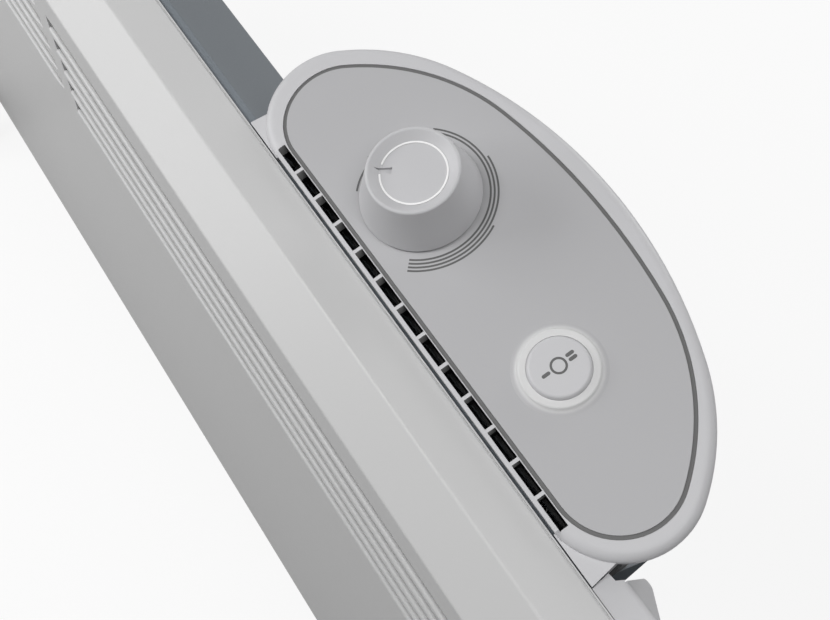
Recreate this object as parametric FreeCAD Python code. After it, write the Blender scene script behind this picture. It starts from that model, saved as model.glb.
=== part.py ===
import FreeCAD
import Part
import math
import os

from FreeCAD import Vector

# Electric convector heater, in millimetres: +X to the right, +Y to the back, +Z up from the floor.

# Folded steel casing
body_width = 576.0
body_height = 330.5
body_depth = 82.6
front_y = -44.6
floor_gap = 65.0
sheet = 1.0
bend = 0.4
fit = 0.3
top_chamfer = 12.5
top_band = 14.15
hem_width = 0.4
hem_groove = 0.55
hem_depth = 0.5
seam_gap = 0.35
seam_flange = 8.0
casing_step = 1.8
casing_fold = 2.8
deflector_drop = 95.5
bottom_return = 18.0

# Air outlet louvres, pressed inward at their lower edge
louvre_rows = 5
louvre_pitch = 10.8
louvre_height = 6.0
louvre_depth = 2.2
louvre_first = 32.0
louvre_margin = 38.4
louvre_middle = 11.2

# Moulded end caps
cap_width = 29.0
cap_gap = 3.5
cap_wall = 2.5
cap_ridge = 8.4
cap_inset = 4.0
cap_corner = 24.0
cap_soft = 2.0
cap_lean = 0.2
cap_nose = 11.0
cap_nose_round = 2.0
cap_nose_taper = 1.6
cap_cheek = -38.2
cap_tongue = 2.6
tongue_depth = 5.5
tongue_taper = 0.7
tongue_bevel = 2.1
cap_shoulder = 10.0
plug_reach = 4.0
plug_inset = 15.0
plate_thickness = 1.2
plate_flange = 12.0
plate_flange_low = 25.0
plate_flange_high = 15.0

# Air intake
grille_thickness = 1.2
intake_pitch = 20.0
intake_width = 9.0
intake_margin = 20.0

# Heating element
element_gap = 14.5
element_height = 150.0
element_y = -4.0
core_radius = 8.0
fin_reach = 34.0
fin_thickness = 2.4
fin_spread = 32.0
terminal_radius = 4.0
bush_radius = 9.0
bush_length = 10.0
cutout_radius = 8.0
cutout_height = 7.0
cutout_z = 235.0
bracket_reach = 30.0
bracket_width = 18.0
tab_half = 1.5
tab_offset = 4.0
tab_thickness = 0.8
tab_height = 6.0

# Control head, in its own plane: u to the right, v to the back, w out of the panel
dial_from_end = 138.0
dial_behind_seam = 23.95
dial_above_top = 9.5
panel_tilt = 15.8
dial_u = -27.5
rocker_u = 33.1
rim_front = -24.8
rim_back = 41.1
rim_nose = 0.4
rim_half_front = 62.5
rim_corner = 21.2
rim_shoulder = 60.3
rim_shoulder_start = 33.1
rim_shift = -1.3
rim_thickness = 4.2
rim_edge = 2.8
bar_half = 64.0
bar_slope = 2.5
groove_front = -20.5
groove_back = 34.8
groove_half_front = 60.5
groove_corner = 16.7
groove_shoulder = 63.5
groove_shoulder_start = 35.0
groove_shift = -0.45
groove_width = 1.1
panel_thickness = 1.2
panel_ledge = 4.0
lip_depth = 4.0
lip_wall = 1.6
vent_count = 13
vent_pitch = 10.0
vent_length = 9.05
vent_width = 2.4
vent_v = -22.5
window_depth = 8.0
shelf_drop = 2.5
housing_front = -25.25
housing_step = 0.9
housing_taper = 8.0
housing_inset = 6.0
housing_depth = 16.5
housing_wall = 1.8
base_half = 79.5
base_depth = 52.5
base_back = 42.9

# Thermostat and its knob
knob_top = 12.25
knob_base = 16.9
knob_height = 15.4
knob_gap = 0.6
knob_edge = 0.7
knob_dish = 2.35
knob_foot_edge = 0.4
knob_wall = 2.0
knob_hub = 5.5
ring_radius = 8.85
ring_width = 0.4
ring_rise = 0.15
pointer_width = 1.9
pointer_outer = 10.75
pointer_inner = 6.0
pointer_depth = 1.15
pointer_rise = 8.0
pointer_angle = 225.0
shaft_radius = 3.0
shaft_clearance = 0.05
shaft_top = 10.4
bushing_radius = 5.0
thermostat_length = 36.0
thermostat_width = 26.0
thermostat_height = 16.0
nut_flats = 14.0
nut_height = 2.4

# Power rocker
rocker_sphere = 8.8
rocker_pivot = -2.0
rocker_top = 2.3
rocker_edge = 0.8
rocker_skirt = -4.6
rocker_wall = 1.4
rocker_pin = 1.0
collar_radius = 10.7
collar_height = 1.2
collar_flare = 1.5
post_gap = 0.4
post_thickness = 1.6
post_half = 2.5
eye_wall = 1.0
leg_half = 1.0
switch_length = 26.0
switch_width = 14.0
switch_top = -8.0
switch_height = 11.0

# Feet
foot_width = 14.0
foot_inset = 1.0
foot_length = 190.0
foot_toe = 11.0
foot_arch = 34.0
foot_shoulder = 54.0
foot_elbow = 40.0
foot_elbow_inset = 6.0
foot_heel_inset = 4.0
pedestal_flare = 8.0
pedestal_front = -23.5
pedestal_back = 12.0
pad_size = 20.0
pad_thickness = 3.0
pad_inset = 2.0
foot_screw_inset = 9.0
foot_screw_seat = 55.0

# Small fittings
screw_radius = 1.9
screw_clearance = 0.2
screw_head = 3.6
screw_head_height = 2.0
screw_grip = 3.0
casing_screw_inset = 40.0
head_screw_inset = 24.0
head_screw_drop = 18.0
head_screw_pitch = 14.0
cap_screw_inset = 18.0
cap_screw_low = 45.0
cap_screw_high = 10.0
foot_screw_length = 18.0
boss_height = 12.0
grommet_radius = 7.0
grommet_bore = 4.5
grommet_flange = 2.0
grommet_drop = 25.0
gland_radius = 7.0
gland_bore = 4.2
gland_length = 12.0
block_length = 34.0
block_width = 14.0
block_height = 12.0

top_z = floor_gap + body_height
back_y = front_y + body_depth
seam_y = front_y + top_chamfer + top_band
half_width = body_width / 2
casing_half = half_width - cap_width - cap_gap
cap_start = half_width - cap_width
casing_top = top_z - casing_step
fold_y = seam_y + seam_gap
shoulder_z = top_z - deflector_drop
dial_x = half_width - dial_from_end
panel_x = dial_x - dial_u
dial_y = seam_y + dial_behind_seam
dial_z = top_z + dial_above_top
plate_x = casing_half - plug_reach - fit - plate_thickness
louvre_length = half_width - louvre_margin - louvre_middle / 2
element_length = 2 * (plate_x - bush_length - element_gap)
housing_half = base_half - housing_step
intake_slots = int(2 * (plate_x - intake_margin) / intake_pitch)


def yz(x):
    return lambda a, b: Vector(x, a, b)


def uw(v):
    return lambda a, b: Vector(a, v, b)


def xy(z):
    return lambda a, b: Vector(a, b, z)


def radial(a, b):
    return Vector(a, 0, b)


def outline(points, place):
    """Closed wire through (a, b, corner radius) points."""
    corners = []
    for index, (a, b, radius) in enumerate(points):
        before = points[index - 1]
        after = points[(index + 1) % len(points)]
        here = Vector(a, b, 0)
        into = (Vector(before[0], before[1], 0) - here).normalize()
        out = (Vector(after[0], after[1], 0) - here).normalize()
        if radius == 0:
            corners.append((here, None, here))
            continue
        half = into.getAngle(out) / 2
        reach = radius / math.tan(half)
        middle = (into + out).normalize()
        crown = here + middle * (radius / math.sin(half) - radius)
        corners.append((here + into * reach, crown, here + out * reach))
    edges = []
    for index, (start, crown, end) in enumerate(corners):
        if crown is not None:
            arc = [place(p.x, p.y) for p in (start, crown, end)]
            edges.append(Part.Arc(*arc).toShape())
        following = corners[(index + 1) % len(corners)][0]
        if end.distanceToPoint(following) > 1e-6:
            edges.append(Part.makeLine(place(end.x, end.y), place(following.x, following.y)))
    return Part.Wire(edges)


def prism(points, place, direction):
    rounded = [p if len(p) == 3 else (p[0], p[1], 0) for p in points]
    return Part.Face(outline(rounded, place)).extrude(direction)


def along_x(points, start, end):
    return prism(points, yz(start), Vector(end - start, 0, 0))


def box(low, high):
    size = Vector(*high) - Vector(*low)
    return Part.makeBox(size.x, size.y, size.z, Vector(*low))


def cylinder(radius, start, end):
    axis = Vector(*end) - Vector(*start)
    return Part.makeCylinder(radius, axis.Length, Vector(*start), axis)


def turned(points):
    """Solid of revolution about w from (radius, height, corner radius) points."""
    return Part.Face(outline(points, radial)).revolve(Vector(0, 0, 0), Vector(0, 0, 1), 360)


def mirrored(shape):
    return shape.mirror(Vector(0, 0, 0), Vector(1, 0, 0))


def offset_path(points, distance):
    """Open path moved to its left by a distance, with mitred corners."""
    lines = []
    for (a0, b0), (a1, b1) in zip(points, points[1:]):
        length = math.hypot(a1 - a0, b1 - b0)
        shift_a = -(b1 - b0) / length * distance
        shift_b = (a1 - a0) / length * distance
        lines.append((a0 + shift_a, b0 + shift_b, a1 - a0, b1 - b0))
    moved = [lines[0][:2]]
    for (a0, b0, da, db), (a1, b1, ea, eb) in zip(lines, lines[1:]):
        share = ((a1 - a0) * eb - (b1 - b0) * ea) / (da * eb - db * ea)
        moved.append((a0 + da * share, b0 + db * share))
    last = lines[-1]
    moved.append((last[0] + last[2], last[1] + last[3]))
    return moved


def folded(points, side, first_bend):
    """Section of a folded sheet: its outer path, and the same path moved in by the sheet's thickness."""
    inner = offset_path(points, side * sheet)
    bends = [0, first_bend] + [bend] * (len(points) - 3) + [0]
    outer = [(a, b, r + sheet if r else 0) for (a, b), r in zip(points, bends)]
    back = [(a, b, r) for (a, b), r in zip(inner, bends)]
    return outer + back[::-1]


def screw(seat, direction, length):
    """Pan-head screw with its head on the seat and its shank along the direction."""
    seat = Vector(*seat)
    axis = Vector(*direction).normalize()
    head = Part.makeCylinder(screw_head, screw_head_height, seat - axis * screw_head_height, axis)
    return head.fuse(Part.makeCylinder(screw_radius, length, seat, axis)).removeSplitter()


def screw_hole(seat, direction, length):
    axis = Vector(*direction).normalize()
    return Part.makeCylinder(screw_radius + screw_clearance, length, Vector(*seat), axis)


def on_head(shape):
    """Moves a shape from the control panel's plane to its place on the heater."""
    placed = shape.copy()
    turn = FreeCAD.Rotation(Vector(1, 0, 0), panel_tilt)
    seat = FreeCAD.Placement(Vector(panel_x, dial_y, dial_z), turn)
    placed.Placement = seat.multiply(placed.Placement)
    return placed


def at_dial(shape):
    return shape.translated(Vector(dial_u, 0, 0))


def at_rocker(shape):
    return shape.translated(Vector(rocker_u, 0, 0))


# The two folded paths that the rest of the casing follows
front_path = [
    (seam_y, top_z - seam_flange),
    (seam_y, top_z),
    (front_y + top_chamfer, top_z),
    (front_y, top_z - top_chamfer),
    (front_y, floor_gap),
    (front_y + bottom_return, floor_gap),
]
rear_path = [
    (fold_y, casing_top - seam_flange),
    (fold_y, casing_top),
    (fold_y + casing_fold, casing_top),
    (back_y, shoulder_z),
    (back_y, floor_gap),
    (back_y - bottom_return, floor_gap),
]


def deflector_y(path, z):
    """Place of the sloping top of the rear casing at a height, on a path like rear_path."""
    (y0, z0), (y1, z1) = path[2], path[3]
    return y0 + (y1 - y0) * (z - z0) / (z1 - z0)


def front_panel():
    panel = along_x(folded(front_path, 1, 0), -half_width, half_width)
    groove_end = seam_y - hem_width
    groove = box((-half_width, groove_end - hem_groove, top_z - hem_depth), (half_width, groove_end, top_z))
    panel = panel.cut(groove)
    for start in (-louvre_middle / 2 - louvre_length, louvre_middle / 2):
        for row in range(louvre_rows):
            ledge = top_z - louvre_first - row * louvre_pitch
            crown = ledge + louvre_height
            window = box((start, front_y - sheet, ledge), (start + louvre_length, front_y + 2 * sheet, crown))
            blade = along_x(
                [
                    (front_y, crown),
                    (front_y + sheet, crown),
                    (front_y + louvre_depth + sheet, ledge),
                    (front_y + louvre_depth, ledge),
                ],
                start,
                start + louvre_length,
            )
            panel = panel.cut(window).fuse(blade)
    for seat in bottom_screw_seats():
        panel = panel.cut(screw_hole(seat, (0, 0, 1), 2 * sheet))
    return panel


def bottom_screw_seats():
    reach = casing_half - plug_reach - plate_flange * 2
    front_row = front_y + bottom_return - screw_head - sheet
    back_row = back_y - bottom_return + screw_head + sheet
    return [(x, y, floor_gap) for x in (-reach, 0, reach) for y in (front_row, back_row)]


def casing_screw_seats():
    x = plate_x - plate_flange / 2
    low = floor_gap + casing_screw_inset
    high = shoulder_z - casing_screw_inset
    heights = [low, (low + high) / 2, high]
    return [(side * x, back_y, z) for side in (-1, 1) for z in heights]


def head_screw_seats():
    """Seats on the inside of the sloping casing, behind the control base."""
    inner = offset_path(rear_path, -sheet)
    seats = []
    reach = base_half - head_screw_inset
    for z in (casing_top - head_screw_drop, casing_top - head_screw_drop - head_screw_pitch):
        for u in (-reach, reach):
            seats.append((panel_x + u, deflector_y(inner, z), z))
    return seats


def deflector_normal():
    """Direction out of the sloping casing, to the back and up."""
    (y0, z0), (y1, z1) = rear_path[2], rear_path[3]
    return Vector(0, z0 - z1, y1 - y0).normalize()


def grommet_axis():
    z = casing_top - grommet_drop
    return Vector(panel_x, deflector_y(rear_path, z), z), deflector_normal()


def rear_casing():
    casing = along_x(folded(rear_path, -1, bend), -casing_half, casing_half)
    for seat in casing_screw_seats():
        casing = casing.cut(screw_hole((seat[0], seat[1] + sheet, seat[2]), (0, -1, 0), 3 * sheet))
    for seat in bottom_screw_seats():
        casing = casing.cut(screw_hole(seat, (0, 0, 1), 2 * sheet))
    normal = deflector_normal()
    for seat in head_screw_seats():
        start = Vector(*seat) - normal * sheet
        casing = casing.cut(screw_hole(start, normal, 3 * sheet))
    centre, normal = grommet_axis()
    hole = Part.makeCylinder(grommet_radius, 4 * sheet, centre - normal * 2 * sheet, normal)
    window_half = vent_count * vent_pitch / 2
    window = box(
        (panel_x - window_half, fold_y + 2 * sheet, casing_top - window_depth),
        (panel_x + window_half, fold_y + window_depth, casing_top + sheet),
    )
    return casing.cut(hole).cut(window)


def interior(gap):
    """Outline of the space inside the folded casing, a gap clear of its inner faces."""
    front = offset_path(front_path, sheet + gap)
    rear = offset_path(rear_path, -sheet - gap)
    under = casing_top - seam_flange - gap
    return [
        front[4],
        front[3],
        front[2],
        front[1],
        (front[1][0], under),
        (deflector_y(rear, under), under),
        rear[3],
        rear[4],
    ]


def side_plate():
    plate = along_x(interior(fit), plate_x, plate_x + plate_thickness)
    face_y = back_y - sheet
    flange = box(
        (plate_x - plate_flange, face_y - plate_thickness, floor_gap + plate_flange_low),
        (plate_x + plate_thickness, face_y, shoulder_z - plate_flange_high),
    )
    plate = plate.fuse(flange).removeSplitter()
    for seat in casing_screw_seats()[3:]:
        start = (seat[0], seat[1], seat[2])
        plate = plate.cut(screw_hole(start, (0, -1, 0), 3 * sheet))
    bore = (plate_x - 1, element_y, element_height)
    plate = plate.cut(cylinder(bush_radius, bore, (plate_x + 2 * plate_thickness, element_y, element_height)))
    for seat in cap_screw_seats():
        plate = plate.cut(screw_hole((plate_x - 1, seat[1], seat[2]), (1, 0, 0), 3 * plate_thickness))
    return plate


def cap_screw_seats():
    y = front_y + cap_screw_inset
    return [(plate_x, y, floor_gap + cap_screw_low), (plate_x, y, shoulder_z - cap_screw_high)]


def cap_cheek_block(shrink):
    """Leaning prism that slants the outer back corner of an end cap."""
    start = front_y - body_depth
    corners = [
        (cap_start, start),
        (cap_start, seam_y),
        (cap_start + cap_nose_taper, cap_nose - 2 * shrink, cap_nose_round),
        (half_width, cap_cheek - 2 * shrink, cap_corner),
        (half_width, start),
    ]
    down = Vector(0, cap_lean, -1) * (2 * body_height)
    return prism(corners, xy(top_z), down).fuse(prism(corners, xy(top_z), down * -0.1)).removeSplitter()


def end_cap():
    """Right end cap: a hollow lobe outside the casing and a tray that plugs into its end."""
    front = front_y + sheet + fit
    bottom = floor_gap + sheet + fit
    under_flange = top_z - seam_flange - fit
    cap_back = back_y - cap_inset
    profile = [
        (front, bottom),
        (front, top_z - top_chamfer - sheet),
        (front_y + top_chamfer, top_z - 2 * sheet - fit),
        (seam_y - sheet - fit, top_z - 2 * sheet - fit),
        (seam_y - sheet - fit, under_flange),
        (seam_y + fit, under_flange),
        (seam_y + fit, top_z - fit),
        (seam_y + cap_ridge, top_z - fit, cap_soft),
        (cap_back, shoulder_z, cap_shoulder),
        (cap_back, bottom),
    ]
    plan = [
        (cap_start, front - 1),
        (cap_start, cap_back + 1),
        (half_width, cap_back + 1, cap_corner),
        (half_width, front - 1),
    ]
    lobe = along_x(profile, cap_start, half_width + 1)
    lobe = lobe.common(prism(plan, xy(0), Vector(0, 0, 2 * top_z)))
    lobe = lobe.common(cap_cheek_block(0))
    hollow = [
        (front + cap_wall, bottom + cap_wall),
        (front + cap_wall, under_flange - cap_wall),
        (seam_y + cap_ridge - 2 * cap_wall, under_flange - cap_wall),
        (cap_back - 2 * cap_wall, shoulder_z),
        (cap_back - 2 * cap_wall, bottom + cap_wall),
    ]
    hollow_plan = [
        (cap_start, front),
        (cap_start, cap_back - cap_wall),
        (half_width - cap_wall, cap_back - cap_wall, cap_corner - cap_wall),
        (half_width - cap_wall, front),
    ]
    cavity = along_x(hollow, cap_start, half_width)
    cavity = cavity.common(prism(hollow_plan, xy(0), Vector(0, 0, 2 * top_z)))
    cavity = cavity.common(cap_cheek_block(cap_wall))
    space = interior(fit)
    slope = (space[5][0] - plug_inset, space[5][1] - plug_inset)
    tray = [
        space[0],
        (space[0][0], slope[1]),
        slope,
        (space[6][0] - plug_inset, space[6][1] - plug_inset),
        (space[7][0] - plug_inset, space[7][1]),
    ]
    plug = along_x(tray, casing_half - plug_reach, cap_start + cap_wall)
    hole = [
        (tray[0][0] + cap_wall, tray[0][1] + cap_wall),
        (tray[1][0] + cap_wall, tray[1][1] - cap_wall),
        (tray[2][0] - cap_wall, tray[2][1] - cap_wall),
        (tray[3][0] - cap_wall, tray[3][1]),
        (tray[4][0] - cap_wall, tray[4][1] + cap_wall),
    ]
    plug = plug.cut(along_x(hole, casing_half - plug_reach, cap_start))
    tongue_front = seam_y + fit
    tongue_back = tongue_front + tongue_depth
    leaf = [
        (cap_start - cap_tongue, tongue_front),
        (cap_start + cap_wall, tongue_front),
        (cap_start + cap_wall, tongue_back),
        (cap_start, seam_y + cap_ridge - fit),
        (cap_start - tongue_bevel / 2, tongue_back + fit),
        (cap_start - cap_tongue - tongue_taper, tongue_back),
    ]
    tongue = prism(leaf, xy(top_z - fit - cap_wall), Vector(0, 0, cap_wall))
    cap = lobe.cut(cavity).fuse([plug, tongue])
    for seat in cap_screw_seats():
        start = (casing_half - plug_reach, seat[1], seat[2])
        boss = cylinder(2 * screw_radius, start, (cap_start + cap_wall, seat[1], seat[2]))
        cap = cap.fuse(boss).cut(screw_hole(start, (1, 0, 0), cap_gap + plug_reach))
    for seat in foot_screw_seats():
        start = (seat[0], seat[1], bottom)
        boss = cylinder(2 * screw_radius, start, (seat[0], seat[1], bottom + boss_height))
        cap = cap.fuse(boss).cut(screw_hole(start, (0, 0, 1), boss_height - cap_wall))
    return cap.removeSplitter()


def intake_grille():
    low = (-plate_x + fit, front_y + sheet + bend + fit, floor_gap + sheet)
    high = (plate_x - fit, back_y - sheet - plate_thickness - fit, floor_gap + sheet + grille_thickness)
    plate = box(low, high)
    for index in range(intake_slots):
        x = (index - (intake_slots - 1) / 2) * intake_pitch
        front = front_y + bottom_return + 2
        back = back_y - bottom_return - 2
        slot = [
            (x - intake_width / 2, front, intake_width / 2.1),
            (x + intake_width / 2, front, intake_width / 2.1),
            (x + intake_width / 2, back, intake_width / 2.1),
            (x - intake_width / 2, back, intake_width / 2.1),
        ]
        plate = plate.cut(prism(slot, xy(floor_gap), Vector(0, 0, 3 * sheet + grille_thickness)))
    for seat in bottom_screw_seats():
        plate = plate.cut(screw_hole(seat, (0, 0, 1), 3 * sheet + grille_thickness))
    return plate


def heating_element():
    """Extruded core with four spread fins, in the shape of an X."""
    half = element_length / 2
    body = cylinder(core_radius, (-half, element_y, element_height), (half, element_y, element_height))
    centre = Vector(-half, element_y, element_height)
    for angle in (fin_spread, 180 - fin_spread, 180 + fin_spread, -fin_spread):
        fin = along_x(
            [
                (0, -fin_thickness / 2),
                (fin_reach, -fin_thickness / 3),
                (fin_reach, fin_thickness / 3),
                (0, fin_thickness / 2),
            ],
            0,
            element_length,
        )
        fin.rotate(Vector(0, 0, 0), Vector(1, 0, 0), angle + 90)
        fin.translate(centre)
        body = body.fuse(fin)
    return body.removeSplitter()


def element_terminal():
    return cylinder(
        terminal_radius,
        (element_length / 2, element_y, element_height),
        (cap_start - 2 * fit, element_y, element_height),
    )


def element_bush():
    """Ceramic bush: a flanged sleeve through the side plate."""
    sleeve = cylinder(
        bush_radius - fit,
        (plate_x + plate_thickness - bush_length, element_y, element_height),
        (plate_x + plate_thickness + 2, element_y, element_height),
    )
    flange = cylinder(
        bush_radius + 3,
        (plate_x - bush_length, element_y, element_height),
        (plate_x, element_y, element_height),
    )
    bore = cylinder(
        terminal_radius,
        (plate_x - 2 * bush_length, element_y, element_height),
        (plate_x + bush_length, element_y, element_height),
    )
    return sleeve.fuse(flange).cut(bore).removeSplitter()


def cutout_bracket():
    """Angle fixed to the right side plate that holds the overheat cut-out above the element."""
    arm = box(
        (plate_x - bracket_reach, element_y - bracket_width / 2, cutout_z),
        (plate_x, element_y + bracket_width / 2, cutout_z + plate_thickness),
    )
    foot = box(
        (plate_x - plate_thickness, element_y - bracket_width / 2, cutout_z),
        (plate_x, element_y + bracket_width / 2, cutout_z + bracket_width),
    )
    return arm.fuse(foot).removeSplitter()


def overheat_cutout():
    x = plate_x - bracket_reach + cutout_radius
    base = (x, element_y, cutout_z + plate_thickness)
    disc = cylinder(cutout_radius, base, (x, element_y, base[2] + cutout_height))
    for side in (-1, 1):
        tab = box(
            (x - tab_half, element_y + side * tab_offset - tab_thickness / 2, base[2] + cutout_height),
            (x + tab_half, element_y + side * tab_offset + tab_thickness / 2, base[2] + cutout_height + tab_height),
        )
        disc = disc.fuse(tab)
    return disc


def d_wire(front, back, half_front, corner, shoulder, shoulder_start, w):
    """D outline of tangent arcs: straight front, round corners, full shoulders and a shallow back."""
    start = math.radians(shoulder_start)
    centre = Vector(half_front, front + corner, w)
    far = centre - Vector(math.cos(start), math.sin(start), 0) * (shoulder - corner)
    end = math.pi / 2 - 2 * math.atan((back - far.y - shoulder) / far.x)

    def on(middle, radius, angle):
        return middle + Vector(math.cos(angle), math.sin(angle), 0) * radius

    def flip(point):
        return Vector(-point.x, point.y, point.z)

    corner_arc = [on(centre, corner, a) for a in (-math.pi / 2, (start - math.pi / 2) / 2, start)]
    shoulder_arc = [on(far, shoulder, a) for a in (start, (start + end) / 2, end)]
    back_arc = [shoulder_arc[2], Vector(0, back, w), flip(shoulder_arc[2])]
    arcs = [corner_arc, shoulder_arc, back_arc]
    arcs += [[flip(p) for p in arc[::-1]] for arc in (shoulder_arc, corner_arc)]
    edges = [Part.Arc(*arc).toShape() for arc in arcs]
    edges.append(Part.makeLine(flip(corner_arc[0]), corner_arc[0]))
    return Part.Wire(Part.__sortEdges__(edges))


def rim_block(grow, low, high):
    wire = d_wire(
        rim_front - rim_nose - grow,
        rim_back + grow,
        rim_half_front,
        rim_corner + grow,
        rim_shoulder + grow,
        rim_shoulder_start,
        low,
    )
    return Part.Face(wire).extrude(Vector(0, 0, high - low)).translated(Vector(rim_shift, 0, 0))


def groove_block(grow, low, high):
    wire = d_wire(
        groove_front - grow,
        groove_back + grow,
        groove_half_front,
        groove_corner + grow,
        groove_shoulder + grow,
        groove_shoulder_start,
        low,
    )
    return Part.Face(wire).extrude(Vector(0, 0, high - low)).translated(Vector(groove_shift, 0, 0))


def control_panel():
    """Inlaid plate with a locating lip below it and a raised collar round the rocker."""
    plate = groove_block(-groove_width / 2, -panel_thickness, 0)
    lip_low = -panel_thickness - lip_depth
    lip = groove_block(-panel_ledge - fit, lip_low, -panel_thickness)
    plate = plate.fuse(lip.cut(groove_block(-panel_ledge - fit - lip_wall, lip_low, -panel_thickness)))
    inner = rocker_sphere / 2
    collar = turned(
        [
            (inner, -panel_thickness / 2, 0),
            (collar_radius + collar_flare, -panel_thickness / 2, 0),
            (collar_radius + collar_flare, 0, 0),
            (collar_radius, collar_height / 4, 0.8),
            (collar_radius - collar_height / 2, collar_height, 0.6),
            (inner, collar_height, 0),
        ]
    )
    plate = plate.fuse(at_rocker(collar))
    rocker_hole = Part.makeSphere(rocker_sphere + fit, Vector(0, 0, rocker_pivot))
    plate = plate.cut(at_rocker(rocker_hole))
    dial_hole = cylinder(bushing_radius + fit, (0, 0, -panel_thickness), (0, 0, 1))
    return plate.cut(at_dial(dial_hole)).removeSplitter()


def head_block(front_half, shrink, low, high):
    """Body under the control panel: a tapered front joined to a smaller D."""
    taper = math.tan(math.radians(housing_taper))
    middle = rim_front + rim_corner
    front = housing_front + shrink
    sides = front_half - shrink
    back_half = sides - (middle - front) * taper
    trapezoid = [(-sides, front), (sides, front), (back_half, middle), (-back_half, middle)]
    block = prism(trapezoid, xy(low), Vector(0, 0, high - low))
    return block.fuse(rim_block(-housing_inset - shrink, low, high)).removeSplitter()


def ahead_of_casing(gap):
    """Space in front of the sloping rear casing and a gap behind it."""
    path = offset_path(rear_path, gap)
    bottom = path[4][1] - 1
    corners = path[1:4] + [(path[3][0], bottom), (front_y, bottom), (front_y, path[1][1])]
    return along_x(corners, 0, body_width)


def grommet_hole(start, end):
    centre, normal = grommet_axis()
    return Part.makeCylinder(grommet_radius, end - start, centre + normal * start, normal)


def vents():
    slots = []
    for index in range(vent_count):
        u = (index - (vent_count - 1) / 2) * vent_pitch
        low = (u - vent_length / 2, vent_v - vent_width / 2, -2 * rim_thickness)
        slots.append(box(low, (u + vent_length / 2, vent_v + vent_width / 2, 1)))
    return slots


def control_housing():
    """Light shell of the control head: rounded rim with vents, a recess for the panel, and a skirt."""
    rim = rim_block(0, -rim_thickness, 0)
    rim = rim.makeFillet(rim_edge, [e for e in rim.Edges if e.BoundBox.ZMin > -1e-6])
    rim = rim.cut(box((-2 * base_half, 2 * rim_front, -2 * rim_thickness), (2 * base_half, rim_front, 1)))
    bar_end = bar_half + bar_slope
    strip = [
        (-bar_end, -rim_thickness),
        (bar_end, -rim_thickness),
        (bar_end, -rim_edge),
        (bar_half, 0),
        (-bar_half, 0),
        (-bar_end, -rim_edge),
    ]
    bar = prism(strip, uw(rim_front), Vector(0, vent_v - rim_front, 0))
    skirt = head_block(housing_half, 0, -housing_depth, -shelf_drop)
    gap = box((-bar_half, 2 * rim_front, -housing_depth), (bar_half, rim_front, 0))
    shell = skirt.cut(gap).fuse([rim, bar])
    cavity = head_block(housing_half, housing_wall, -housing_depth, -rim_thickness)
    recess = groove_block(groove_width / 2, -panel_thickness, 1)
    mouth = groove_block(-panel_ledge, -housing_depth, 1)
    shell = on_head(shell.cut([recess, mouth] + vents())).cut(ahead_of_casing(fit))
    return shell.cut(on_head(cavity).cut(ahead_of_casing(fit + housing_wall))).removeSplitter()


def control_base():
    behind = box((0, base_back, 0), (body_width, 2 * base_back, 2 * top_z))
    inner_behind = box((0, base_back - housing_wall, 0), (body_width, 2 * base_back, 2 * top_z))
    body = on_head(head_block(base_half, 0, -base_depth, -housing_depth))
    body = body.cut(ahead_of_casing(fit)).cut(behind)
    cavity = on_head(head_block(base_half, housing_wall, -base_depth + housing_wall, -housing_depth))
    cavity = cavity.cut(ahead_of_casing(fit + housing_wall)).cut(inner_behind)
    body = body.cut(cavity).cut(grommet_hole(0, 3 * housing_wall))
    normal = deflector_normal()
    for seat in head_screw_seats():
        body = body.cut(screw_hole(seat, normal, 3 * housing_wall))
    gland = cylinder(gland_radius, (0, 0, -base_depth - 1), (0, 0, -base_depth + 2 * housing_wall))
    return body.cut(on_head(gland.translated(Vector(gland_u(), gland_v(), 0)))).removeSplitter()


def gland_u():
    return base_half / 2


def gland_v():
    return gland_radius + 2


def cable_gland():
    low = -base_depth
    flange = cylinder(gland_radius + 2, (0, 0, low - 2), (0, 0, low))
    stem = cylinder(gland_radius - fit, (0, 0, low - gland_length), (0, 0, low + housing_wall + 2))
    bore = cylinder(gland_bore, (0, 0, low - 2 * gland_length), (0, 0, 0))
    gland = flange.fuse(stem).cut(bore).removeSplitter()
    return gland.translated(Vector(gland_u(), gland_v(), 0))


def wire_grommet():
    centre, normal = grommet_axis()
    wall = sheet + fit + housing_wall
    inner = centre - normal * sheet
    sleeve = Part.makeCylinder(grommet_radius - fit, wall + 2 * grommet_flange, inner - normal * grommet_flange, normal)
    flange_inside = Part.makeCylinder(grommet_radius + 2, grommet_flange, inner - normal * grommet_flange, normal)
    flange_outside = Part.makeCylinder(grommet_radius + 2, grommet_flange, inner + normal * wall, normal)
    bore = Part.makeCylinder(grommet_bore, 4 * wall, inner - normal * 2 * grommet_flange, normal)
    return sleeve.fuse([flange_inside, flange_outside]).cut(bore).removeSplitter()


def terminal_block():
    floor = -base_depth + housing_wall
    low = (-block_length, gland_v() - block_width / 2, floor)
    high = (0, gland_v() + block_width / 2, floor + block_height)
    block = box(low, high)
    for way in (1, 2, 3):
        u = -block_length + way * block_length / 4
        well = cylinder(block_length / 12, (u, gland_v(), floor + block_height / 2), (u, gland_v(), 0))
        block = block.cut(well)
    return block


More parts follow.
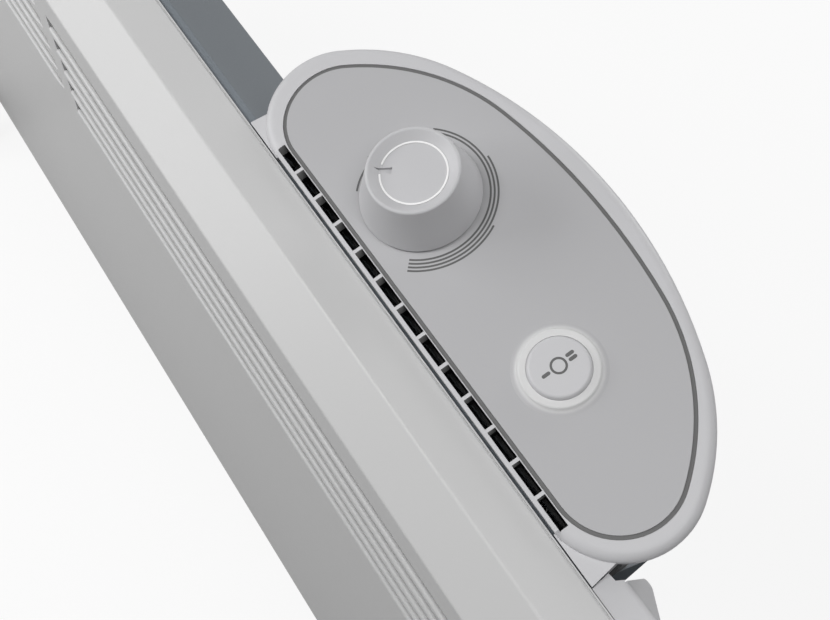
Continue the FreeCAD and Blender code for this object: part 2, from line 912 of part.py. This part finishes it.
def thermostat_knob():
    """Conical knob with a dished top, a fine raised ring and a pointer groove, hollow round its hub."""
    face = knob_height - knob_dish
    shell = turned(
        [
            (0, face, 0),
            (ring_radius - ring_width / 2, face, 0),
            (ring_radius - ring_width / 2, face + ring_rise, 0),
            (ring_radius + ring_width / 2, face + ring_rise, 0),
            (ring_radius + ring_width / 2, face, 0),
            (knob_top, knob_height, knob_edge),
            (knob_base, knob_gap, knob_foot_edge),
            (knob_base - knob_wall, knob_gap, 0),
            (knob_top - knob_wall, face - knob_wall, 0),
            (0, face - knob_wall, 0),
        ]
    )
    hub = cylinder(knob_hub, (0, 0, nut_height + 2), (0, 0, face - knob_wall))
    bore = cylinder(shaft_radius + shaft_clearance, (0, 0, 0), (0, 0, shaft_top + fit))
    wedge = [(pointer_inner, -pointer_width / 2), (pointer_outer, 0), (pointer_inner, pointer_width / 2)]
    pointer = prism(wedge, xy(face - pointer_depth), Vector(0, 0, knob_height))
    pointer.rotate(Vector(pointer_inner, 0, face - pointer_depth), Vector(0, -1, 0), pointer_rise)
    pointer.rotate(Vector(0, 0, 0), Vector(0, 0, 1), pointer_angle)
    return shell.fuse(hub).cut(bore).cut(pointer).removeSplitter()


def thermostat_shaft():
    foot = -panel_thickness - thermostat_height / 2
    return cylinder(shaft_radius, (0, 0, foot), (0, 0, shaft_top))


def thermostat_body():
    top = -panel_thickness
    case = box(
        (-thermostat_length / 2, -thermostat_width / 2, top - thermostat_height),
        (thermostat_length / 2, thermostat_width / 2, top),
    )
    neck = cylinder(bushing_radius, (0, 0, top), (0, 0, nut_height + 1))
    bore = cylinder(shaft_radius + shaft_clearance, (0, 0, top - thermostat_height / 2 - fit), (0, 0, knob_height))
    return case.fuse(neck).cut(bore).removeSplitter()


def thermostat_nut():
    corner = nut_flats / 2 / math.cos(math.pi / 6)
    points = [(corner * math.cos(k * math.pi / 3), corner * math.sin(k * math.pi / 3)) for k in range(6)]
    nut = prism(points, xy(0), Vector(0, 0, nut_height))
    return nut.cut(cylinder(bushing_radius + shaft_clearance, (0, 0, -1), (0, 0, nut_height + 1)))


def power_rocker():
    """Round rocker: the side is part of a sphere about the pivot, so its gap stays even as it tilts."""
    ball = Part.makeSphere(rocker_sphere, Vector(0, 0, rocker_pivot))
    slab = box((-20, -20, rocker_skirt), (20, 20, rocker_top))
    cap = ball.common(slab)
    crown = [e for e in cap.Edges if e.BoundBox.ZMin > rocker_top - 1e-6]
    cap = cap.makeFillet(rocker_edge, crown)
    inner_ball = Part.makeSphere(rocker_sphere - rocker_wall, Vector(0, 0, rocker_pivot))
    inner_slab = box((-20, -20, rocker_skirt - 1), (20, 20, rocker_top - rocker_wall))
    cap = cap.cut(inner_ball.common(inner_slab))
    reach = rocker_sphere - rocker_wall / 2
    pin = cylinder(rocker_pin, (-reach, 0, rocker_pivot), (reach, 0, rocker_pivot))
    return cap.fuse(pin).removeSplitter()


def rocker_switch_body():
    """Switch block with two posts that carry the rocker's pin."""
    body = box(
        (-switch_length / 2, -switch_width / 2, switch_top - switch_height),
        (switch_length / 2, switch_width / 2, switch_top),
    )
    inside = rocker_sphere - rocker_wall - post_gap - 1
    bore_wall = rocker_pin + eye_wall
    for side in (-1, 1):
        start, end = sorted((side * (inside - post_thickness), side * inside))
        post = box((start, -post_half, switch_top), (end, post_half, rocker_pivot))
        eye = cylinder(bore_wall, (start, 0, rocker_pivot), (end, 0, rocker_pivot))
        body = body.fuse([post, eye])
    bore = cylinder(rocker_pin + shaft_clearance, (-switch_length, 0, rocker_pivot), (switch_length, 0, rocker_pivot))
    body = body.cut(bore)
    for side in (-1, 1):
        leg = box(
            (side * (switch_length / 2 - leg_half) - leg_half, -switch_width / 2, switch_top),
            (side * (switch_length / 2 - leg_half) + leg_half, switch_width / 2, -panel_thickness),
        )
        body = body.fuse(leg)
    return body.removeSplitter()


def foot_x():
    return half_width - foot_width / 2 - foot_inset


def foot_screw_seats():
    rows = (pedestal_front + foot_screw_inset, pedestal_back - foot_screw_inset)
    return [(foot_x(), y, foot_screw_seat) for y in rows]


def foot():
    half = foot_length / 2
    seat = floor_gap + sheet + fit
    low = pad_thickness
    heel = half - pad_size - foot_heel_inset
    arch = low + foot_arch
    haunch = heel - foot_arch * 0.6
    elbow = heel - foot_elbow_inset
    profile = [
        (-half, low, 2),
        (-heel, low, 4),
        (-haunch, arch, 10),
        (haunch, arch, 10),
        (heel, low, 4),
        (half, low, 2),
        (half, foot_toe, 4),
        (elbow, foot_elbow, 30),
        (pedestal_back + pedestal_flare, foot_shoulder, 12),
        (pedestal_back, seat, 1),
        (pedestal_front, seat, 1),
        (pedestal_front - pedestal_flare, foot_shoulder, 12),
        (-elbow, foot_elbow, 30),
        (-half, foot_toe, 4),
    ]
    x = foot_x()
    body = along_x(profile, x - foot_width / 2, x + foot_width / 2)
    for seat_point in foot_screw_seats():
        well = cylinder(screw_head + 1, (seat_point[0], seat_point[1], 0), seat_point)
        body = body.cut(well).cut(screw_hole(seat_point, (0, 0, 1), foot_screw_length))
    return body


def foot_pads():
    y = foot_length / 2 - pad_size / 2 - pad_inset
    pads = []
    for side in (-1, 1):
        for end in (-1, 1):
            x = side * foot_x()
            pad = box(
                (x - foot_width / 2 + foot_inset, end * y - pad_size / 2, 0),
                (x + foot_width / 2 - foot_inset, end * y + pad_size / 2, pad_thickness),
            )
            upright = [e for e in pad.Edges if e.BoundBox.ZLength > pad_thickness / 2]
            pads.append(pad.makeFillet(pad_size / 5, upright))
    return pads


def both_sides(shapes):
    return shapes + [mirrored(s) for s in shapes]


def foot_screws():
    return both_sides([screw(seat, (0, 0, 1), foot_screw_length) for seat in foot_screw_seats()])


def casing_screws():
    return [screw(seat, (0, -1, 0), sheet + plate_thickness + screw_grip) for seat in casing_screw_seats()]


def bottom_screws():
    return [screw(seat, (0, 0, 1), sheet + grille_thickness + screw_grip) for seat in bottom_screw_seats()]


def cap_screws():
    length = cap_start - plate_x - screw_grip / 2
    return both_sides([screw(seat, (1, 0, 0), length) for seat in cap_screw_seats()])


def head_screws():
    normal = deflector_normal()
    length = sheet + fit + housing_wall + screw_grip
    return [screw(seat, (normal.x, normal.y, normal.z), length) for seat in head_screw_seats()]


def save(name, shapes):
    shapes = shapes if isinstance(shapes, list) else [shapes]
    shape = shapes[0] if len(shapes) == 1 else Part.makeCompound(shapes)
    shape.exportStep("parts/" + name + ".step")
    solids = shape.Solids
    print(name, len(solids), "solids", round(sum(s.Volume for s in solids)), "mm3", "valid", shape.isValid())


os.makedirs("parts", exist_ok=True)
right_plate = side_plate()
right_cap = end_cap()
right_foot = foot()
save("front_panel", front_panel())
save("rear_casing", rear_casing())
save("left_side_plate", mirrored(right_plate))
save("right_side_plate", right_plate)
save("left_end_cap", mirrored(right_cap))
save("right_end_cap", right_cap)
save("intake_grille", intake_grille())
save("heating_element", heating_element())
save("element_terminals", both_sides([element_terminal()]))
save("element_bushes", both_sides([element_bush()]))
save("cutout_bracket", cutout_bracket())
save("overheat_cutout", overheat_cutout())
save("control_base", control_base())
save("control_housing", control_housing())
save("control_panel", on_head(control_panel()))
save("terminal_block", on_head(terminal_block()))
save("cable_gland", on_head(cable_gland()))
save("wire_grommet", wire_grommet())
save("thermostat_body", on_head(at_dial(thermostat_body())))
save("thermostat_nut", on_head(at_dial(thermostat_nut())))
save("thermostat_shaft", on_head(at_dial(thermostat_shaft())))
save("thermostat_knob", on_head(at_dial(thermostat_knob())))
save("rocker_switch_body", on_head(at_rocker(rocker_switch_body())))
save("power_rocker", on_head(at_rocker(power_rocker())))
save("left_foot", mirrored(right_foot))
save("right_foot", right_foot)
save("foot_pads", foot_pads())
save("foot_screws", foot_screws())
save("casing_screws", casing_screws())
save("bottom_screws", bottom_screws())
save("cap_screws", cap_screws())
save("head_screws", head_screws())
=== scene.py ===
import bmesh
import bpy
import math
from mathutils import Matrix, Vector


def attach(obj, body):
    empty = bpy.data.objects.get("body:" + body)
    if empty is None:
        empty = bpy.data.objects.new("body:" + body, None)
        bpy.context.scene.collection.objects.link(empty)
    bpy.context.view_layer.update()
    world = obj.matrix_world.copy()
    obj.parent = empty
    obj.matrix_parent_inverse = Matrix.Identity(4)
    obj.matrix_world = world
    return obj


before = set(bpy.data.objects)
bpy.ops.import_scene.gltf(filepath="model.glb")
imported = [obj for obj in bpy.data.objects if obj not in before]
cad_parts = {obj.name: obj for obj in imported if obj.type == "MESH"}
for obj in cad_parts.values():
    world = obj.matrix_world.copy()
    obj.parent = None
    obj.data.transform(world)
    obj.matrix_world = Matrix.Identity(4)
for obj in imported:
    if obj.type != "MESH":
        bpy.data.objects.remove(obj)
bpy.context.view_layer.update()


# Front panel: one sheet of steel, folded over the top and under the bottom, with two groups of
# louvres pressed inward, each over a rolled lip. Light-grey stove enamel covers it, very slightly
# uneven under the light.
class Tone:
    """An output socket of a finish. Arithmetic on it adds Math nodes to the finish."""

    def __init__(self, tree, socket=None):
        self.tree = tree
        self.socket = socket

    def node(self, kind, settings, sockets, output=0):
        """Adds a node: settings first, then its sockets by name or number."""
        made = self.tree.nodes.new("ShaderNode" + kind)
        for name, value in settings.items():
            setattr(made, name, value)
        for name, value in sockets.items():
            if isinstance(value, Tone):
                self.tree.links.new(value.socket, made.inputs[name])
            else:
                made.inputs[name].default_value = value
        return Tone(self.tree, made.outputs[output])

    def math(self, operation, first, second):
        return self.node("Math", {"operation": operation}, {0: first, 1: second})

    def __add__(self, other):
        return self.math("ADD", self, other)

    def __radd__(self, other):
        return self.math("ADD", other, self)

    def __sub__(self, other):
        return self.math("SUBTRACT", self, other)

    def __rsub__(self, other):
        return self.math("SUBTRACT", other, self)

    def __mul__(self, other):
        return self.math("MULTIPLY", self, other)

    def __rmul__(self, other):
        return self.math("MULTIPLY", other, self)

    def __abs__(self):
        return self.math("ABSOLUTE", self, 0.0)

    def __lt__(self, other):
        return self.math("LESS_THAN", self, other)

    def __gt__(self, other):
        return self.math("GREATER_THAN", self, other)

    def __or__(self, other):
        """The greater of two masks, so that either counts."""
        return self.math("MAXIMUM", self, other)

    def __ror__(self, other):
        return self.math("MAXIMUM", other, self)


def new_finish(name):
    """Empty material: its node tree and its shader node."""
    material = bpy.data.materials.new(name)
    material.use_nodes = True
    tree = material.node_tree
    return material, tree, tree.nodes["Principled BSDF"]


def grey(level, tint=(1.0, 1.0, 1.0)):
    """Linear colour of a screen grey from 0 to 255, with a light tint."""
    value = level / 255
    linear = value / 12.92 if value <= 0.04045 else ((value + 0.055) / 1.055) ** 2.4
    return tuple(linear * part for part in tint) + (1.0,)


def coated(name, colour, roughness, grain, depth, metallic=0.0, cloud=0.035, sheen=0.5):
    """Surface with a faint cloud in its colour, a fine grain, and gloss that changes a little.

    The grain's size and depth are in metres, and cloud is the share by which the colour changes.
    """
    material, tree, shader = new_finish(name)
    place = Tone(tree).node("TexCoord", {}, {}, output="Object")
    broad = place.node("TexNoise", {}, {"Vector": place, "Scale": 9.0, "Detail": 3.0})
    fine = place.node("TexNoise", {}, {"Vector": place, "Scale": 1 / grain, "Detail": 2.0})
    dark = tuple(part * (1 - cloud) for part in colour[:3]) + (1.0,)
    light = tuple(min(1.0, part * (1 + cloud)) for part in colour[:3]) + (1.0,)
    tone = place.node(
        "Mix", {"data_type": "RGBA"}, {"Factor": broad, 6: dark, 7: light}, output=2
    )
    bump = place.node("Bump", {}, {"Height": fine, "Strength": 0.35, "Distance": depth})
    fine_gloss = 0.12
    broad_gloss = 0.1
    gloss = roughness + (fine - 0.5) * fine_gloss + (broad - 0.5) * broad_gloss
    tree.links.new(tone.socket, shader.inputs["Base Color"])
    tree.links.new(gloss.socket, shader.inputs["Roughness"])
    tree.links.new(bump.socket, shader.inputs["Normal"])
    shader.inputs["Metallic"].default_value = metallic
    shader.inputs["Specular IOR Level"].default_value = sheen
    return material


def dress(finish, *nodes):
    """Gives parts of the frame a finish in place of the plain one."""
    for name in nodes:
        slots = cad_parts[name].data.materials
        slots.clear()
        slots.append(finish)


def made_piece(name, mesh, finish):
    """Turns a mesh in the making into an object of the scene."""
    data = bpy.data.meshes.new(name)
    mesh.to_mesh(data)
    mesh.free()
    data.materials.append(finish)
    piece = bpy.data.objects.new(name, data)
    bpy.context.scene.collection.objects.link(piece)
    return piece


front_enamel = coated("front_enamel", grey(205), roughness=0.42, grain=0.0011, depth=0.00004)
dress(front_enamel, "front_panel")

lip_radius = 0.00105
lip_sides = 24
half_lip = 0.1218
lip_start = 0.0058
lip_tip = 0.0008
lip_taper = 0.0055
first_lip = Vector((0, -0.04425, 0.3636))
lip_pitch = 0.0108
lip_rows = 5
# Place along the lip, and share of its radius there.
lip_stations = [
    (-half_lip, 0.4),
    (-half_lip + lip_tip, 1.0),
    (half_lip - lip_taper, 1.0),
    (half_lip, 0.35),
]
mesh = bmesh.new()
for side in (-1, 1):
    for row in range(lip_rows):
        middle = first_lip + Vector((side * (lip_start + half_lip), 0, -row * lip_pitch))
        rings = []
        for along, share in lip_stations:
            ring = []
            for step in range(lip_sides):
                turn = Matrix.Rotation(2 * math.pi * step / lip_sides, 3, "X")
                edge = turn @ Vector((along, 0, lip_radius * share))
                ring.append(mesh.verts.new(middle + edge))
            rings.append(ring)
        for near, far in zip(rings, rings[1:]):
            for step in range(lip_sides):
                mesh.faces.new((near[step - 1], near[step], far[step], far[step - 1]))
        mesh.faces.new(rings[0])
        mesh.faces.new(rings[-1])
bmesh.ops.recalc_face_normals(mesh, faces=mesh.faces)
lips = made_piece("louvre_lips", mesh, front_enamel)
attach(lips, "heater")

# Side plates, intake grille and cut-out bracket: bare galvanised sheet inside the casing, cut and
# folded, screwed to the rear casing and the bottom returns.
zinc = coated(
    "zinc_plate", grey(190, (0.97, 0.99, 1.0)),
    roughness=0.38, grain=0.004, depth=0.00002, metallic=0.9, cloud=0.1,
)
dress(zinc, "left_side_plate", "right_side_plate", "intake_grille", "cutout_bracket")

# Heating element: a dark anodised aluminium extrusion in the shape of an X, carried by steel pins
# in glazed ceramic bushes, with an overheat cut-out above it.
anodised = coated(
    "dark_anodised", grey(120, (1.0, 0.99, 0.97)),
    roughness=0.45, grain=0.0008, depth=0.00003, metallic=0.8,
)
pin_steel = coated("pin_steel", grey(185), roughness=0.3, grain=0.002, depth=0.00001, metallic=1.0)
ceramic = coated(
    "glazed_ceramic", grey(232, (1.0, 0.98, 0.94)), roughness=0.2, grain=0.003, depth=0.00002
)
black_moulding = coated("black_moulding", grey(45), roughness=0.5, grain=0.0006, depth=0.00003)
dress(anodised, "heating_element")
dress(pin_steel, "element_terminals")
dress(ceramic, "element_bushes")
dress(black_moulding, "overheat_cutout")

# Rear casing: sheet steel in matt dark grey, folded into the sloping top that throws the warm air
# forward, the back and the bottom return.
dark_enamel = coated(
    "dark_enamel", grey(134, (0.90, 1.0, 1.10)),
    roughness=0.55, grain=0.0009, depth=0.00004, sheen=0.2,
)
dress(dark_enamel, "rear_casing")

# End caps: light-grey moulded plastic, hollow, plugged into the ends of the casing and screwed to
# the side plates.
cool_tint = (0.992, 0.99, 1.014)
cap_plastic = coated(
    "cap_plastic", grey(205, cool_tint), roughness=0.46, grain=0.0007, depth=0.00003, sheen=0.3
)
dress(cap_plastic, "left_end_cap", "right_end_cap")

# Control base: dark-grey moulding screwed to the sloping casing from inside. It holds the terminal
# block; the cord enters through the gland and the wires go on through a rubber grommet.
slate_tint = (0.98, 1.0, 1.02)
base_plastic = coated(
    "base_plastic", grey(46, slate_tint), roughness=0.6, grain=0.0006, depth=0.00004
)
rubber = coated("black_rubber", grey(40), roughness=0.65, grain=0.0008, depth=0.00005)
white_moulding = coated(
    "white_moulding", grey(222, (1.0, 1.0, 0.97)), roughness=0.45, grain=0.0007, depth=0.00003
)
dress(base_plastic, "control_base")
dress(black_moulding, "cable_gland")
dress(rubber, "wire_grommet")
dress(white_moulding, "terminal_block")

# Control housing: light-grey moulding with a rounded rim, a row of vent slots and a recess for the
# panel. It snaps onto the base. Shade in the slots is painted: their walls are painted a darker
# grey, and the long walls and the walls further down are painted black.
panel_tilt = math.radians(15.8)
panel_middle = Vector((0.1775, 0.006, 0.405))
on_panel = Matrix.Translation(panel_middle) @ Matrix.Rotation(panel_tilt, 4, "X")
along_panel = on_panel.col[0].to_3d()
across_panel = on_panel.col[1].to_3d()
out_of_panel = on_panel.col[2].to_3d()


def length_along(vector, direction):
    """Length of a vector of the finish along a direction."""
    settings = {"operation": "DOT_PRODUCT"}
    return vector.node("VectorMath", settings, {0: vector, 1: direction}, output="Value")


def paint_over(finish, mask, colour):
    """Lays a colour over a finish where the mask is 1."""
    base = finish.node_tree.nodes["Principled BSDF"].inputs["Base Color"]
    below = Tone(mask.tree, base.links[0].from_socket)
    over = mask.node(
        "Mix", {"data_type": "RGBA"}, {"Factor": mask, 6: below, 7: colour}, output=2
    )
    mask.tree.links.new(over.socket, base)


rim_plastic = coated(
    "rim_plastic", grey(204, cool_tint), roughness=0.42, grain=0.0007, depth=0.00003, sheen=0.3
)
slot_line = -0.0225
slot_half_width = 0.00124
slot_row_half = 0.0646
slot_edge = -0.0003
black_shade_depth = -0.0043
steep = 0.5
place = Tone(rim_plastic.node_tree).node("TexCoord", {}, {}, output="Object")
facing = place.node("NewGeometry", {}, {}, output="Normal")
along = length_along(place, along_panel) - panel_middle.dot(along_panel)
across = length_along(place, across_panel) - panel_middle.dot(across_panel)
height = length_along(place, out_of_panel) - panel_middle.dot(out_of_panel)
in_row = (abs(across - slot_line) < slot_half_width) * (abs(along) < slot_row_half)
in_slot = in_row * (height < slot_edge)
long_wall = abs(length_along(facing, across_panel)) > steep
# Painted shade: slot walls turn a darker grey, long walls and deep walls turn black.
paint_over(rim_plastic, in_slot, grey(168))
paint_over(rim_plastic, in_slot * (long_wall | (height < black_shade_depth)), grey(12))
dress(rim_plastic, "control_housing")

# Control panel: slightly darker plate let into the recess, with a raised, paler collar round the
# rocker. A dark grey strip in the groove round it is painted shade, and the dial's arcs are
# printed on it: one more arc starts with each step up in warmth.
dial_u = -0.0275
rocker_u = 0.0331
collar_edge = 0.0102
collar_foot = 0.0118

panel_plastic = coated(
    "panel_plastic", grey(184, cool_tint), roughness=0.45, grain=0.0007, depth=0.00003, sheen=0.3
)
place = Tone(panel_plastic.node_tree).node("TexCoord", {}, {}, output="Object")
rocker_place = on_panel @ Vector((rocker_u, 0, 0))
reach = place.node(
    "VectorMath", {"operation": "DISTANCE"}, {0: place, 1: rocker_place}, output="Value"
)
collar = place.node(
    "MapRange", {"interpolation_type": "SMOOTHSTEP"},
    {
        "Value": reach, "From Min": collar_foot, "From Max": collar_edge,
        "To Min": 0.0, "To Max": 1.0,
    },
)
paint_over(panel_plastic, collar, grey(219))
dress(panel_plastic, "control_panel")


def printed(name, strips, finish, body, height):
    """Thin strips on the panel or above it, each a list of (left, right) point pairs."""
    half_ink = 0.00003
    same_point = 1e-7
    levels = (height - half_ink, height + half_ink)
    mesh = bmesh.new()
    for strip in strips:
        rows = []
        for pair in strip:
            rows.append([mesh.verts.new((u, v, w)) for w in levels for u, v in pair])
        for low, high in zip(rows, rows[1:]):
            for a, b in ((0, 1), (1, 3), (3, 2), (2, 0)):
                mesh.faces.new((low[a], low[b], high[b], high[a]))
        if (strip[0][0] - strip[-1][0]).length > same_point:
            first, last = rows[0], rows[-1]
            mesh.faces.new((first[0], first[2], first[3], first[1]))
            mesh.faces.new((last[0], last[1], last[3], last[2]))
    bmesh.ops.remove_doubles(mesh, verts=mesh.verts, dist=same_point)
    bmesh.ops.recalc_face_normals(mesh, faces=mesh.faces)
    piece = made_piece(name, mesh, finish)
    piece.data.transform(on_panel)
    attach(piece, body)


def bow(centre, radius, start, end, steps=24):
    """Points along an arc, angles in radians."""
    turns = [start + (end - start) * step / steps for step in range(steps + 1)]
    return [centre + Vector((math.cos(turn), math.sin(turn))) * radius for turn in turns]


def arc_strip(centre, radius, width, start, end):
    """Strip along an arc, angles in degrees."""
    steps = max(6, int(abs(end - start) / 3))
    span = (math.radians(start), math.radians(end))
    inner = bow(centre, radius - width / 2, *span, steps)
    outer = bow(centre, radius + width / 2, *span, steps)
    return list(zip(inner, outer))


dial_ink = coated("dial_ink", grey(92), roughness=0.5, grain=0.0005, depth=0.00001)
dial_centre = Vector((dial_u - 0.0002, -0.0001))
arc_width = 0.00054
warm_end = -43.6
# Radius of each arc, and the angles of its two ends.
dial_arcs = [
    (0.01893, 195.0, warm_end),
    (0.01997, 135.0, warm_end),
    (0.02101, 84.5, warm_end),
    (0.02203, 27.5, warm_end),
    (0.01755, 228.0, 150.0),
]
arcs = [arc_strip(dial_centre, radius, arc_width, start, end) for radius, start, end in dial_arcs]
printed("dial_arcs", arcs, dial_ink, "heater", 0.0)


def d_line(front, back, half_front, corner, shoulder, shoulder_start):
    """Closed D of tangent arcs: straight front, round corners, full shoulders, shallow back."""
    begin = math.radians(shoulder_start)
    near = Vector((half_front, front + corner))
    far = near - Vector((math.cos(begin), math.sin(begin))) * (shoulder - corner)
    crown = (back - far.y - shoulder) / far.x
    end = math.pi / 2 - 2 * math.atan(crown)
    right = bow(near, corner, -math.pi / 2, begin) + bow(far, shoulder, begin, end)[1:]
    across = right[-1].x
    rise = back - right[-1].y
    radius = (across * across + rise * rise) / (2 * rise)
    middle = Vector((0, back - radius))
    side = math.asin(across / radius)
    over = bow(middle, radius, math.pi / 2 - side, math.pi / 2 + side)[1:]
    left = [Vector((-point.x, point.y)) for point in right[::-1]][1:]
    return right + over + left


def ribbon(line, width):
    """Closed strip of an even width along a closed line."""
    strip = []
    for index, point in enumerate(line):
        ahead = (line[(index + 1) % len(line)] - line[index - 1]).normalized()
        across = Vector((-ahead.y, ahead.x)) * width / 2
        strip.append((point + across, point - across))
    return strip + strip[:1]


# Painted shade: a dark grey strip along the groove, standing in for the shade of its depth.
groove_shade_grey = coated("groove_shade_grey", grey(112), roughness=0.55, grain=0.0006, depth=0.00002, sheen=0.2)
groove_shade_width = 0.00096
groove_shade_height = -0.0003
groove_shift = Vector((-0.00045, 0))
groove_line = d_line(
    front=-0.0205, back=0.0348, half_front=0.0605,
    corner=0.0167, shoulder=0.0635, shoulder_start=35.0,
)
groove = [point + groove_shift for point in groove_line]
groove_shade_strips = [ribbon(groove, groove_shade_width)]
printed("panel_groove_shade", groove_shade_strips, groove_shade_grey, "heater", groove_shade_height)

# Thermostat: black moulded switch under the panel, held by a brass nut on its bushing, with a
# turned steel shaft.
brass = coated(
    "turned_brass", grey(205, (1.0, 0.82, 0.45)),
    roughness=0.3, grain=0.002, depth=0.00001, metallic=1.0,
)
dress(black_moulding, "thermostat_body")
dress(brass, "thermostat_nut")
dress(pin_steel, "thermostat_shaft")

# Thermostat knob: light-grey conical moulding with a broad soft edge, a fine ring whose bright
# line is a painted highlight, and a wedge-shaped pointer let into its top. It is pushed onto the
# shaft.
knob_plastic = coated(
    "knob_plastic", grey(200, cool_tint), roughness=0.42, grain=0.0006, depth=0.00002, sheen=0.35
)
dress(knob_plastic, "thermostat_knob")
# Painted highlight: a bright white strip along the ring on the knob top.
ring_highlight_white = coated("ring_highlight_white", grey(252), roughness=0.3, grain=0.0006, depth=0.00001)
knob_top = 0.01322
ring_radius = 0.00885
ring_width = 0.0005
ring_start = 234.0
ring_end = 576.0
knob_ring_highlight = arc_strip(Vector((dial_u, 0)), ring_radius, ring_width, ring_start, ring_end)
printed("knob_ring_highlight", [knob_ring_highlight], ring_highlight_white, "knob", knob_top)

# Power rocker: round light-grey cap that tilts in the collar, with its three positions printed on
# the top. Its switch block hangs under the panel. The collar's inner edge has a painted highlight.
rocker_plastic = coated(
    "rocker_plastic", grey(205, cool_tint), roughness=0.42, grain=0.0006, depth=0.00002, sheen=0.35
)
dress(rocker_plastic, "power_rocker")
dress(black_moulding, "rocker_switch_body")


def bar_strip(first, second, width):
    """Straight strip with round ends between two points."""
    round_ends = (15, 40, 65, 90, 90, 115, 140, 165)
    ahead = (second - first).normalized() * width / 2
    across = Vector((-ahead.y, ahead.x))
    strip = []
    for turn in round_ends:
        middle = first if len(strip) < len(round_ends) / 2 else second
        angle = math.radians(turn)
        along = middle - ahead * math.cos(angle)
        strip.append((along + across * math.sin(angle), along - across * math.sin(angle)))
    return strip


rocker_top = 0.0023
off_centre = Vector((rocker_u - 0.00025, 0.00006))
off_radius = 0.00193
off_width = 0.0006
bar_width = 0.00095
# Place of each bar across the rocker, and its lower and upper end.
bars = [
    (-0.00017, -0.0046, -0.0031),
    (-0.00112, 0.0033, 0.0048),
    (0.0002, 0.0033, 0.0048),
]
marks = [arc_strip(off_centre, off_radius, off_width, 0, 360)]
for side, low, high in bars:
    first = Vector((rocker_u + side, low))
    second = Vector((rocker_u + side, high))
    marks.append(bar_strip(first, second, bar_width))
printed("rocker_marks", marks, dial_ink, "rocker", rocker_top)

# Painted highlight: a bright white strip round the collar's inner edge.
collar_highlight_white = coated("collar_highlight_white", grey(226), roughness=0.4, grain=0.0006, depth=0.00001, sheen=0.35)
collar_top = 0.00112
collar_bore = 0.00845
collar_highlight_width = 0.0003
collar_edge_highlight = arc_strip(Vector((rocker_u, 0)), collar_bore, collar_highlight_width, 0, 360)
printed("collar_edge_highlight", [collar_edge_highlight], collar_highlight_white, "heater", collar_top)

# Feet: two dark-grey mouldings across the ends of the heater, screwed up into the end caps. Each
# stands on black rubber pads.
foot_plastic = coated(
    "foot_plastic", grey(88, slate_tint), roughness=0.5, grain=0.0007, depth=0.00005
)
dress(foot_plastic, "left_foot", "right_foot")
dress(rubber, "foot_pads")

# Screws: zinc-plated steel with pan heads. They hold the feet, the casing and its bottom returns,
# the end caps and the control base.
screw_zinc = coated(
    "screw_zinc", grey(195, (1.0, 0.98, 0.93)),
    roughness=0.28, grain=0.0015, depth=0.00001, metallic=1.0,
)
dress(screw_zinc, "foot_screws", "casing_screws", "bottom_screws", "cap_screws", "head_screws")

# Studio: a pale floor that runs to the horizon, three soft lamps in front at the left, one
# overhead, one behind and a weak fill at the right. The floor is white to the camera, and throws
# light back as a middle grey. The camera is close above the right end of the heater.
mirror_share = 0.5
white_share = 0.85
floor_level = 0.35
sky_level = 0.09
floor_reach = 6.0


def white_rays(tree):
    """Masks of the rays straight from the camera, and of all rays that see the background."""
    straight = Tone(tree).node("LightPath", {}, {}, output="Is Camera Ray")
    mirrored = Tone(tree).node("LightPath", {}, {}, output="Is Glossy Ray")
    through = Tone(tree).node("LightPath", {}, {}, output="Is Transmission Ray")
    return straight, straight | mirrored * mirror_share | through


floor_finish, tree, shader = new_finish("pale_floor")
straight, seen = white_rays(tree)
floor_tone = straight * (1 - floor_level) + floor_level
tree.links.new(floor_tone.socket, shader.inputs["Base Color"])
shader.inputs["Roughness"].default_value = 0.9
matt = Tone(tree, shader.outputs[0])
white = seen.node("Emission", {}, {"Strength": 1.0})
blend = seen.node("MixShader", {}, {0: seen * white_share, 1: matt, 2: white})
tree.links.new(blend.socket, tree.nodes["Material Output"].inputs["Surface"])

mesh = bmesh.new()
bmesh.ops.create_grid(mesh, x_segments=1, y_segments=1, size=floor_reach)
floor = made_piece("studio_floor", mesh, floor_finish)

world = bpy.data.worlds.new("studio")
world.use_nodes = True
bpy.context.scene.world = world
tree = world.node_tree
sky = tree.nodes["Background"]
sky.inputs["Color"].default_value = (1, 1, 1, 1)
straight, seen = white_rays(tree)
sky_light = seen * (1 - sky_level) + sky_level
tree.links.new(sky_light.socket, sky.inputs["Strength"])

heater_top = Vector((0.1, 0.0, 0.37))
# Name, place, size in metres and power in watts.
lamps = [
    ("key", (-0.16, -0.54, 1.15), 0.3, 3.2),
    ("low_softbox", (-0.33, -0.70, 0.57), 0.25, 1.4),
    ("left_softbox", (-0.66, -0.56, 0.66), 0.35, 2.0),
    ("overhead", (0.45, -0.08, 1.30), 0.6, 3.4),
    ("back_softbox", (-0.10, 1.00, 0.70), 0.5, 3.9),
    ("right_fill", (0.95, 0.05, 0.95), 0.6, 0.7),
]
for name, stand, size, power in lamps:
    light = bpy.data.lights.new(name, "AREA")
    light.size = size
    light.energy = power
    lamp = bpy.data.objects.new(name, light)
    lamp.location = stand
    lamp.visible_camera = False
    lamp.rotation_euler = (heater_top - Vector(stand)).to_track_quat("-Z", "Y").to_euler()
    bpy.context.scene.collection.objects.link(lamp)

camera = bpy.data.cameras.new("camera")
camera.sensor_width = 36
camera.lens = 42.88
camera.clip_start = 0.01
viewer = bpy.data.objects.new("camera", camera)
eye = Vector((0.26560, -0.09485, 0.62344))
right = Vector((0.56057, 0.82455, 0.07664))
up = Vector((-0.74947, 0.46580, 0.47044))
back = Vector((0.35220, -0.32116, 0.87910))
turn = Matrix((right, up, back)).transposed()
viewer.matrix_world = Matrix.Translation(eye) @ turn.to_4x4()
bpy.context.scene.collection.objects.link(viewer)
bpy.context.scene.camera = viewer

bpy.context.scene.view_settings.view_transform = "Standard"
